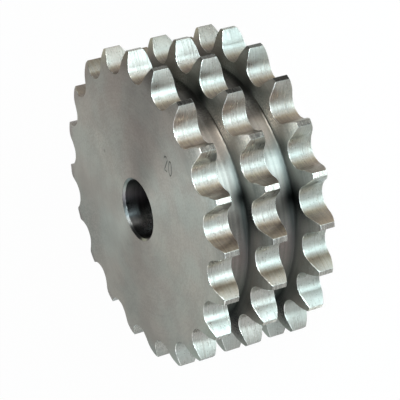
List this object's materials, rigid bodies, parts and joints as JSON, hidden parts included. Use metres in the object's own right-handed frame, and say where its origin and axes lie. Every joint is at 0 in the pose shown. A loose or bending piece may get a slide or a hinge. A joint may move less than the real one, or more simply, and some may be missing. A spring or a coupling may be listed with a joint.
{
  "type": "triplex roller chain sprocket",
  "caption": "Steel plate wheel for triplex roller chain: rows of side-relieved teeth with turned grooves between them, flat faces and a chamfered bore.",
  "frame": {"origin": "on the bore axis, at the flat face that the part rests on", "axes": "+Z along the bore axis, away from the resting face; +X through the centre of a tooth in every row; right-handed"},
  "size_m": [0.0858, 0.0858, 0.0348],
  "materials": {
    "machined_steel": "turned and hobbed, satin"
  },
  "bodies": {
    "root": {"sprocket": "machined_steel"}
  },
  "joints": []
}
